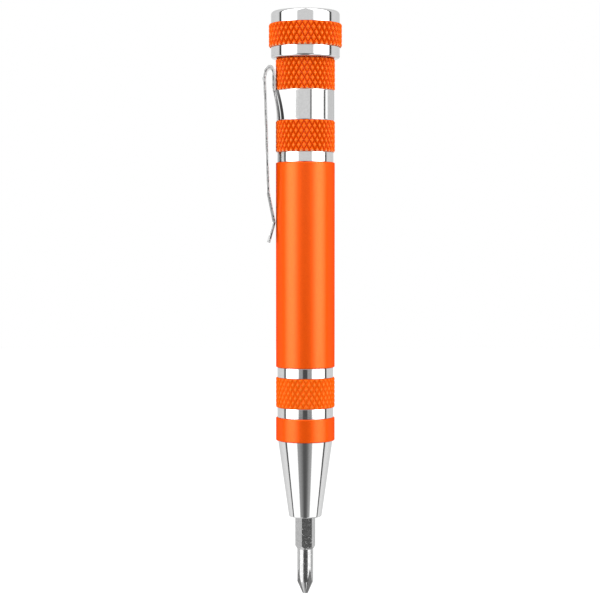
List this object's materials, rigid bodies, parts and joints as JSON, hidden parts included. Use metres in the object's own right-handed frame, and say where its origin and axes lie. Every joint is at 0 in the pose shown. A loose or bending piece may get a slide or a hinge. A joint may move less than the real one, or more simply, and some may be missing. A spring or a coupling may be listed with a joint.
{
  "type": "pocket screwdriver",
  "caption": "Pen-sized pocket screwdriver with a knurled spinning cap, a sprung pocket clip, a magnetic hexagon socket and spare bits stored in its barrel.",
  "frame": {"origin": "the point of the bit in the nose, on the screwdriver's axis", "axes": "+Z along the axis from the bit's point to the cap; the pocket clip is on the -X side"},
  "size_m": [0.0177, 0.0164, 0.1309],
  "materials": {
    "orange_anodised": "satin orange anodised aluminium",
    "bright_plate": "bright nickel-chrome plating",
    "spring_steel": "bright plated spring steel",
    "bit_steel": "satin hardened tool steel",
    "plain_steel": "plain steel",
    "carrier_plastic": "moulded black plastic",
    "washer_nylon": "natural nylon"
  },
  "bodies": {
    "barrel": {"barrel_sleeve": "orange_anodised"},
    "nose_magazine": {"nose_carrier": "carrier_plastic", "cross_bit_fine": "bit_steel", "cross_bit_small": "bit_steel"},
    "nose_ring": {"barrel_spacer_ring": "bright_plate"},
    "nose": {"nose_cone": "bright_plate", "nose_sleeve": "orange_anodised", "lower_spacer_ring": "bright_plate", "nose_grip_ring": "orange_anodised", "bit_socket": "plain_steel", "socket_magnet": "plain_steel"},
    "drive_bit": {"drive_bit": "bit_steel"},
    "tail_magazine": {"tail_carrier": "carrier_plastic", "slot_bit_wide": "bit_steel", "slot_bit_narrow": "bit_steel", "star_bit": "bit_steel"},
    "tail_ring": {"upper_spacer_ring": "bright_plate"},
    "tail": {"tail_core": "bright_plate", "upper_grip_ring": "orange_anodised", "clip_band": "spring_steel", "collar_grip_ring": "orange_anodised", "thrust_washer": "washer_nylon"},
    "clip": {"clip_arm": "spring_steel"},
    "cap": {"cap_base": "bright_plate", "cap_grip_ring": "orange_anodised", "cap_crown": "bright_plate", "spindle_clip": "plain_steel"}
  },
  "joints": [
    {"name": "nose_pull", "type": "slide", "parent": "barrel", "child": "nose_magazine", "axis": [0, 0, -1], "range_m": [0, 0.03]},
    {"name": "nose_unscrew", "type": "slide", "parent": "nose_magazine", "child": "nose_ring", "axis": [0, 0, -1], "range_m": [0, 0.0045]},
    {"name": "nose_turn", "type": "hinge", "parent": "nose_ring", "child": "nose", "pos_m": [0, 0, 0.0513], "axis": [0, 0, -1], "range_deg": [0, 1620]},
    {"name": "bit_pull", "type": "slide", "parent": "nose", "child": "drive_bit", "axis": [0, 0, -1], "range_m": [0, 0.0105]},
    {"name": "tail_pull", "type": "slide", "parent": "barrel", "child": "tail_magazine", "axis": [0, 0, 1], "range_m": [0, 0.03]},
    {"name": "tail_unscrew", "type": "slide", "parent": "tail_magazine", "child": "tail_ring", "axis": [0, 0, 1], "range_m": [0, 0.0045]},
    {"name": "tail_turn", "type": "hinge", "parent": "tail_ring", "child": "tail", "pos_m": [0, 0, 0.09715], "axis": [0, 0, 1], "range_deg": [0, 1620]},
    {"name": "clip_flex", "type": "hinge", "parent": "tail", "child": "clip", "pos_m": [-0.0081, 0, 0.11758], "axis": [0, 1, 0], "range_deg": [0, 4.5], "stiffness_Nm_per_rad": 2},
    {"name": "cap_spin", "type": "hinge", "parent": "tail", "child": "cap", "pos_m": [0, 0, 0.1202], "axis": [0, 0, 1], "continuous": true}
  ],
  "couplings": [
    {"joint": "nose_turn", "follows": "nose_unscrew", "rad_per_m": 6283.2},
    {"joint": "tail_turn", "follows": "tail_unscrew", "rad_per_m": 6283.2}
  ]
}
